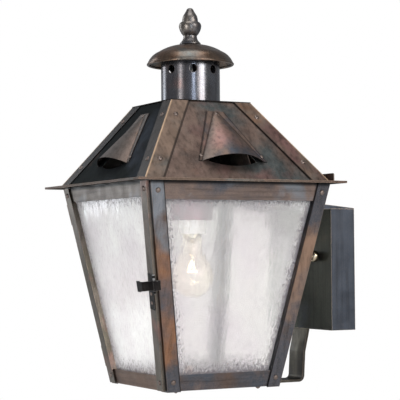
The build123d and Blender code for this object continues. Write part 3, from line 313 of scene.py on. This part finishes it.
def patina(name, base, layers, shift, rough=(0.30, 0.48), wear=None, bands=(), sides=(),
           dust=0.16, run=UPWARDS, glint=1.0, marks=()):
    """Aged copper: height bands, clouds, rubbed streaks, speckle, worn edges, and painted light, shade and
    marks.

    shift varies the pattern, wear is the tone of worn edges, and sides are pairs of an axis
    and a tone painted on what faces it, painted light and shade for how the light falls there.
    dust is how much pale speckle shows, run is the direction of the streaks, and glint is how
    bright the metal turns when it is seen at a glancing angle. marks are functions that each
    paint one mark over the colour, most of them painted shade.
    """
    material, tree, shader = new_material(name)
    colour = height_bands(tree, base, bands, shift)
    colour = clouds_over(tree, colour, layers, shift)
    # Painted light and shade: a tone on what faces each given side.
    for axis, tone in sides:
        colour = tint(tree, colour, facing(tree, axis), tone, 0.88)
    colour = rubbed(tree, colour, shift, run, dust)
    if wear:
        colour = tint(tree, colour, worn_edges(tree, 0.0008), wear, 0.75)
    for mark in marks:
        colour = mark(tree, colour)
    tree.links.new(colour, shader.inputs["Base Color"])
    copper_surface(tree, shader, shift, rough, glint)
    return material


# ---------------------------------------------------------------- glass
def let_light_through(tree, surface):
    """Lamps shine straight through the glass."""
    path = node(tree, "ShaderNodeLightPath")
    clear = node(tree, "ShaderNodeBsdfTransparent")
    either = mix_shaders(tree, path.outputs["Is Shadow Ray"], surface, clear.outputs["BSDF"])
    tree.links.new(either, tree.nodes["Material Output"].inputs["Surface"])


def seed_bubbles(tree, shift):
    """One inside each of the small bubbles that are scattered through the glass."""
    seeds = node(tree, "ShaderNodeTexVoronoi", {"Scale": 1.0})
    tree.links.new(place(tree, SEEDS, shift), seeds.inputs["Vector"])
    return span(tree, seeds.outputs["Distance"], 0.08, 0.20, 1.0, 0.0)


def pane_relief(tree, shader, shift, bubble):
    """Upright ripples, finer ones on them, and the bubbles."""
    ripple = noise(tree, RIPPLES, shift, detail=3.0)
    fine = noise(tree, FINE_RIPPLES, shift + 4.0, detail=2.0)
    relief = calculate(tree, "ADD", ripple, calculate(tree, "MULTIPLY", fine, 0.06))
    relief = calculate(tree, "ADD", relief, calculate(tree, "MULTIPLY", bubble, 0.10))
    bump(tree, shader, relief, 0.45, 0.0014)


def pane_colour(tree, shift, tone, bubble):
    """Faint mauve clouds, grey streaks and a little grey in each bubble."""
    cloud = noise(tree, GLASS_CLOUDS, shift + 8.0, detail=5.0)
    colour = mix_colour(tree, span(tree, cloud, 0.42, 0.72, 0.0, 0.6), tone, (0.72, 0.66, 0.69))
    streak = noise(tree, GLASS_STREAKS, shift + 13.0, detail=4.0, roughness=0.7)
    colour = mix_colour(tree, span(tree, streak, 0.48, 0.72, 0.0, 0.40), colour, (0.50, 0.48, 0.49))
    return tint(tree, colour, bubble, (0.55, 0.53, 0.54), 0.30)


def pane_flecks(tree, shift):
    """Dark grit, thicker towards the borders, and thin upright threads."""
    grit = noise(tree, GRIT, shift + 15.0, detail=4.0, roughness=0.75)
    crowded = calculate(tree, "ADD", grit, calculate(tree, "MULTIPLY", pane_border(tree), 0.20))
    thread = noise(tree, THREADS, shift + 19.0, detail=4.0, roughness=0.7)
    faint = span(tree, thread, 0.60, 0.74, 0.0, 0.5)
    worn = calculate(tree, "MAXIMUM", span(tree, crowded, 0.62, 0.72), faint)
    return calculate(tree, "MULTIPLY", worn, 0.80)


def seeded_glass(name, shift, milk, tone):
    """Old-style pane. milk is the share of light that the glass scatters instead of letting through."""
    material, tree, shader = new_material(name)
    bubble = seed_bubbles(tree, shift)
    pane_relief(tree, shader, shift, bubble)
    tree.links.new(pane_colour(tree, shift, tone, bubble), shader.inputs["Base Color"])
    shader.inputs["Transmission Weight"].default_value = 1.0 - milk
    shader.inputs["Roughness"].default_value = 0.07
    shader.inputs["IOR"].default_value = 1.35
    fleck = node(tree, "ShaderNodeBsdfDiffuse", {"Color": (0.16, 0.14, 0.15, 1)})
    flecked = mix_shaders(tree, pane_flecks(tree, shift), shader.outputs["BSDF"], fleck.outputs["BSDF"])
    let_light_through(tree, flecked)
    return material


def clear_glass(name):
    """The bulb's glass, with a faint warm emission for the glow round the filament."""
    material, tree, shader = new_material(name)
    haze = noise(tree, 60, 2.0)
    colour = mix_colour(tree, span(tree, haze, 0.4, 0.7, 0.0, 0.3), (1.0, 0.99, 0.96), (0.95, 0.92, 0.86))
    tree.links.new(colour, shader.inputs["Base Color"])
    shader.inputs["Transmission Weight"].default_value = 1.0
    shader.inputs["Roughness"].default_value = 0.02
    shader.inputs["IOR"].default_value = 1.45
    shader.inputs["Emission Color"].default_value = (1.0, 0.80, 0.50, 1.0)
    shader.inputs["Emission Strength"].default_value = 0.05
    let_light_through(tree, shader.outputs["BSDF"])
    return material


# ---------------------------------------------------------------- other materials
def glow(name, colour, strength):
    """A lit wire, brighter and dimmer along its length."""
    material, tree, shader = new_material(name)
    turns = noise(tree, (1600, 300, 300), 1.0, detail=1.0)
    tone = mix_colour(tree, span(tree, turns, 0.4, 0.6), colour, tuple(part * 0.7 for part in colour))
    tree.links.new(tone, shader.inputs["Emission Color"])
    tree.links.new(tone, shader.inputs["Base Color"])
    shader.inputs["Emission Strength"].default_value = strength
    return material


def plain_metal(name, base, tone, rough=(0.25, 0.45), metal=1.0, shift=0.0, wear=None):
    """Steel or brass: two tones in patches, fine brushing and worn edges."""
    material, tree, shader = new_material(name)
    patches = noise(tree, 80, shift, detail=5.0)
    colour = mix_colour(tree, span(tree, patches, 0.35, 0.7), base, tone)
    if wear:
        colour = mix_colour(tree, worn_edges(tree, 0.0006), colour, wear)
    tree.links.new(colour, shader.inputs["Base Color"])
    shader.inputs["Metallic"].default_value = metal
    smudge = noise(tree, 176, shift + 4.0)
    tree.links.new(span(tree, smudge, *SPREAD, *rough), shader.inputs["Roughness"])
    bump(tree, shader, noise(tree, 900, shift + 2.0), 0.15, 0.0004)
    return material


def porcelain(name):
    material, tree, shader = new_material(name)
    stain = noise(tree, 40, 6.0)
    colour = mix_colour(tree, span(tree, stain, 0.45, 0.75, 0.0, 0.5), (0.86, 0.84, 0.79), (0.70, 0.64, 0.55))
    tree.links.new(colour, shader.inputs["Base Color"])
    shader.inputs["Roughness"].default_value = 0.2
    bump(tree, shader, noise(tree, 120, 3.0), 0.1, 0.0005)
    return material


# ---------------------------------------------------------------- pieces
def paint(material, *names):
    """Give pieces a material."""
    for name in names:
        for holder in NODES[name].material_slots:
            holder.material = material


def dress_roof():
    clouds = [(TEAL, 11, 0.46, 0.62), (PINK, 17, 0.52, 0.70),
              (ORANGE, 26, 0.60, 0.78), (UMBER, 20, 0.54, 0.68)]
    roof = patina("roof_copper", BROWN, clouds, 0.3, sides=(DOWNWARD_SHADE,), marks=(paint_roof_shade,))
    # The hip straps' sides that face the front are painted darker: painted shade.
    hips = patina("hip_copper", TAN, clouds, 1.9, wear=WORN, dust=0.08, marks=(paint_roof_shade, fresh_hip),
                  sides=(("-Y", (0.016, 0.018, 0.019)), DOWNWARD_SHADE))
    # A shaded copy of the roof copper for the front and left panels: painted shade, darker than the right and
    # back panels for the light that falls on them.
    dark = patina("roof_copper_shaded", (0.017, 0.021, 0.022),
                  [(SLATE, 12, 0.52, 0.76), (UMBER, 22, 0.62, 0.80)], 5.1,
                  rough=(0.45, 0.58), sides=(DOWNWARD_SHADE,), dust=0.04, glint=0.45, marks=(paint_roof_shade,))
    # The scoops' faces that face the front are painted paler and greyer: painted light.
    scoop = patina("scoop_copper", (0.150, 0.105, 0.085),
                   [(PINK, 18, 0.52, 0.74), (ORANGE, 30, 0.62, 0.80), (SLATE, 24, 0.54, 0.72)], 2.2,
                   rough=(0.42, 0.55), dust=0.10, marks=(paint_roof_shade,),
                   sides=(("-Y", (0.150, 0.130, 0.118)), DOWNWARD_SHADE))
    eave = patina("eave_copper", (0.085, 0.060, 0.046),
                  [(UMBER, 12, 0.44, 0.60), (TEAL, 18, 0.55, 0.72)], 19.2,
                  rough=(0.50, 0.62), wear=WORN, sides=(DOWNWARD_SHADE,), dust=0.10)
    paint(roof, "roof_panel_right", "roof_panel_back", "rear_upstand")
    paint(hips, "hip_straps")
    paint(dark, "roof_panel_front", "roof_panel_left")
    paint(scoop, "vent_scoops")
    paint(eave, "eave_plate")


def dress_chimney():
    matte = patina("top_plate_copper", (0.020, 0.018, 0.017), [(UMBER, 22, 0.58, 0.75)], 6.1,
                   rough=(0.75, 0.90), dust=0.04, glint=0.3)
    pipe = patina("chimney_copper", (0.110, 0.110, 0.122),
                  [(STEEL, 16, 0.46, 0.64), (PINK, 24, 0.60, 0.80)], 17.9,
                  rough=(0.18, 0.28), wear=WORN)
    cap = patina("cap_copper", (0.105, 0.072, 0.052),
                 [(ORANGE, 13, 0.54, 0.72), (TEAL, 19, 0.46, 0.64)], 15.3,
                 rough=(0.24, 0.38), wear=WORN)
    finial = patina("finial_copper", (0.165, 0.148, 0.132), [(SLATE, 30, 0.45, 0.65)], 16.4,
                    rough=(0.28, 0.40))
    paint(matte, "roof_top_plate")
    paint(pipe, "chimney")
    paint(cap, "dome_cap")
    paint(finial, "finial")


def dress_body():
    clouds = [(SLATE, 9, 0.54, 0.70), (UMBER, 19, 0.54, 0.70)]
    post_marks = (post_lip_shade, eave_shade)
    near = patina("post_copper", UMBER, clouds, 7.7, wear=WORN, marks=post_marks,
                  bands=((0.02, 0.12, STEEL), (-0.13, -0.01, ORANGE), (-0.2, -0.16, SLATE)))
    far = patina("far_post_copper", UMBER, clouds, 31.7, wear=WORN, marks=post_marks,
                 bands=((0.04, 0.12, SLATE), (-0.08, 0.02, (0.26, 0.165, 0.115)), (-0.2, -0.09, SLATE)))
    top = patina("top_rail_copper", SLATE, [(BROWN, 14, 0.50, 0.64), (STEEL, 21, 0.52, 0.70)], 9.4,
                 bands=((0.070, 0.080, (0.150, 0.108, 0.090)),), run=LEVEL, marks=(eave_shade,))
    low = patina("bottom_rail_copper", UMBER, [(SLATE, 13, 0.45, 0.60), (BROWN, 21, 0.55, 0.72)], 41.4,
                 run=LEVEL)
    paint(near, "corner_post_front_right", "corner_post_front_left")
    paint(far, "corner_post_back_right", "corner_post_back_left")
    paint(top, "top_rails", "front_header", "socket_bridge")
    paint(low, "bottom_rails", "front_sill", "bottom_plate")


def dress_door():
    stile = patina("stile_copper", (0.120, 0.105, 0.090),
                   [(OLIVE, 12, 0.45, 0.62), (PINK, 18, 0.54, 0.74)], 12.6, wear=WORN)
    top = patina("door_rail_copper", (0.135, 0.118, 0.105),
                 [(STEEL, 16, 0.58, 0.76), (UMBER, 22, 0.54, 0.72)], 52.0,
                 run=LEVEL, marks=(eave_shade,))
    bottom = patina("door_sill_copper", (0.150, 0.095, 0.070),
                    [(ORANGE, 16, 0.56, 0.74), (UMBER, 22, 0.5, 0.7)], 55.0, run=LEVEL)
    paint(stile, "door_stile_left", "door_stile_right")
    paint(top, "door_top_rail")
    paint(bottom, "door_bottom_rail")


def dress_bracket():
    # The box's side that faces +X is painted a bluish slate: a painted reflection.
    box = patina("wall_bronze", (0.045, 0.050, 0.043),
                 [(SLATE, 12, 0.56, 0.78), (OLIVE, 20, 0.58, 0.76)], 22.4,
                 wear=BRIGHT, sides=(("+X", (0.056, 0.066, 0.086)),), dust=0.06, glint=0.6)
    arm = patina("arm_bronze", (0.034, 0.033, 0.030), [(OLIVE, 20, 0.5, 0.7)], 24.4, wear=WORN, dust=0.08,
                 glint=0.7)
    paint(box, "wall_box", "top_arm")
    paint(arm, "bottom_arm")


def dress_fittings():
    rivet = plain_metal("rivet_copper", (0.20, 0.16, 0.14), (0.10, 0.075, 0.065), (0.34, 0.48), shift=3.0)
    steel = plain_metal("zinc_steel", (0.55, 0.55, 0.56), (0.38, 0.37, 0.36), shift=6.0)
    clip = plain_metal("clip_copper", (0.30, 0.20, 0.15), (0.16, 0.12, 0.10), shift=8.0, wear=WORN)
    black = plain_metal("latch_black", (0.006, 0.005, 0.005), (0.018, 0.015, 0.014), (0.40, 0.60), metal=0.9,
                        shift=9.0, wear=(0.22, 0.20, 0.19))
    brass = plain_metal("ball_brass", (0.46, 0.38, 0.27), (0.30, 0.24, 0.17), (0.12, 0.25), shift=10.0)
    paint(rivet, "rivets", "small_rivets", "door_rivets", "bottom_screws")
    paint(steel, "crossbar", "box_studs", "stud_nuts_and_ground_screw", "rod_bridge", "rod_nut_and_washer",
          "finial_rod", "socket_nipple", "lock_nuts", "wire_tube", "hinge_pins", "latch_pin", "latch_spring")
    paint(clip, "pane_clips", "door_clips", "hinge_post_leaves", "hinge_door_leaves")
    paint(black, "latch_bracket", "latch_lever")
    paint(brass, "cap_nuts")


def dress_panes():
    paint(seeded_glass("seeded_side", 1.0, 0.19, (0.785, 0.772, 0.745)), "side_panes")
    paint(seeded_glass("seeded_door", 6.0, 0.44, (0.95, 0.945, 0.93)), "door_pane")


def dress_lamp():
    cup = patina("cup_copper", (0.22, 0.075, 0.105), [(PINK, 24, 0.5, 0.7), (SLATE, 30, 0.6, 0.8)], 25.0,
                 rough=(0.5, 0.6), dust=0.05)
    base = plain_metal("lamp_cap", (0.78, 0.72, 0.55), (0.55, 0.48, 0.36), (0.2, 0.35), shift=11.0)
    paint(cup, "socket_cup")
    paint(base, "bulb_base")
    paint(porcelain("porcelain"), "lamp_socket")
    paint(clear_glass("bulb_clear"), "bulb_glass", "bulb_stem")
    paint(glow("filament", (1.0, 0.78, 0.48), 40.0), "bulb_filament")


# ---------------------------------------------------------------- stage
MIDDLE = (0, AXIS_Y, 0.08)      # what the lights are aimed at
FLOOR_Z = -0.42
FLOOR_RADIUS = 2.0
CAMERA_PLACE = (1.7939, -1.1554, 0.0057)
CAMERA_HEADING = 61.982         # degrees to the left of straight at the wall
CAMERA_PITCH = 2.098            # degrees upward
CAMERA_ROLL = -0.436
FOCAL_LENGTH = 130.85           # millimetres, as the sensor
SENSOR_WIDTH = 36.0


def make_floor():
    mesh = bpy.data.meshes.new("floor")
    shape = bmesh.new()
    bmesh.ops.create_circle(shape, cap_ends=True, segments=96, radius=FLOOR_RADIUS)
    shape.to_mesh(mesh)
    shape.free()
    floor = bpy.data.objects.new("floor", mesh)
    bpy.context.scene.collection.objects.link(floor)
    floor.location = (0, AXIS_Y, FLOOR_Z)
    material, tree, shader = new_material("floor")
    shade = noise(tree, 3, 1.0)
    tone = mix_colour(tree, span(tree, shade, *SPREAD), (0.90, 0.90, 0.89), (0.87, 0.87, 0.86))
    tree.links.new(tone, shader.inputs["Base Color"])
    shader.inputs["Roughness"].default_value = 0.8
    mesh.materials.append(material)


def make_world():
    """A white backdrop, seen directly or through glass, and a dimmer room that lights the lantern."""
    world = bpy.data.worlds.new("studio")
    bpy.context.scene.world = world
    world.use_nodes = True
    tree = world.node_tree
    tree.nodes.clear()
    path = node(tree, "ShaderNodeLightPath")
    seen = calculate(tree, "MAXIMUM", path.outputs["Is Camera Ray"], path.outputs["Is Transmission Ray"])
    backdrop = node(tree, "ShaderNodeBackground", {"Color": (1, 1, 1, 1), "Strength": 1.0})
    room = node(tree, "ShaderNodeBackground", {"Color": (0.92, 0.95, 1.0, 1), "Strength": 0.30})
    either = mix_shaders(tree, seen, room.outputs["Background"], backdrop.outputs["Background"])
    output = node(tree, "ShaderNodeOutputWorld")
    tree.links.new(either, output.inputs["Surface"])


def area_light(name, spot, size, power, colour=(1, 1, 1)):
    lamp = bpy.data.lights.new(name, "AREA")
    lamp.shape = "RECTANGLE"
    lamp.size, lamp.size_y = size
    lamp.energy = power
    lamp.color = colour
    holder = bpy.data.objects.new(name, lamp)
    holder.location = spot
    holder.rotation_euler = (Vector(MIDDLE) - Vector(spot)).to_track_quat("-Z", "Y").to_euler()
    bpy.context.scene.collection.objects.link(holder)


def make_lights():
    area_light("key_right", (2.2, 0.5, 0.9), (1.0, 1.6), 46, (1.0, 0.97, 0.94))
    area_light("fill_front", (0.9, -2.3, -0.5), (0.9, 1.2), 22, (0.95, 0.97, 1.0))
    area_light("top", (0.3, -0.4, 2.2), (1.6, 1.6), 26)
    area_light("strip_right", (2.0, -0.75, 0.35), (0.20, 1.8), 14, (0.68, 0.82, 1.0))
    area_light("strip_front", (0.9, -2.4, 0.45), (0.30, 1.6), 9, (1.0, 0.95, 0.90))
    area_light("rim_left", (-1.8, -1.2, 0.6), (0.5, 1.6), 12, (0.9, 0.95, 1.0))


def make_camera():
    """Camera low on the lantern's front right, looking slightly upward."""
    heading, pitch, roll = (math.radians(angle) for angle in (CAMERA_HEADING, CAMERA_PITCH, CAMERA_ROLL))
    forward = Vector((-math.sin(heading) * math.cos(pitch),
                      math.cos(heading) * math.cos(pitch),
                      math.sin(pitch)))
    level = Vector((math.cos(heading), math.sin(heading), 0))
    upright = level.cross(forward)
    right = math.cos(roll) * level + math.sin(roll) * upright
    up = math.cos(roll) * upright - math.sin(roll) * level
    turn = Matrix((right, up, -forward)).transposed().to_4x4()
    lens = bpy.data.cameras.new("camera")
    lens.lens = FOCAL_LENGTH
    lens.sensor_width = SENSOR_WIDTH
    holder = bpy.data.objects.new("camera", lens)
    holder.matrix_world = Matrix.Translation(CAMERA_PLACE) @ turn
    bpy.context.scene.collection.objects.link(holder)
    bpy.context.scene.camera = holder


dress_roof()
dress_chimney()
dress_body()
dress_door()
dress_bracket()
dress_fittings()
dress_panes()
dress_lamp()
make_floor()
make_world()
make_lights()
make_camera()
bpy.context.scene.view_settings.view_transform = "Standard"
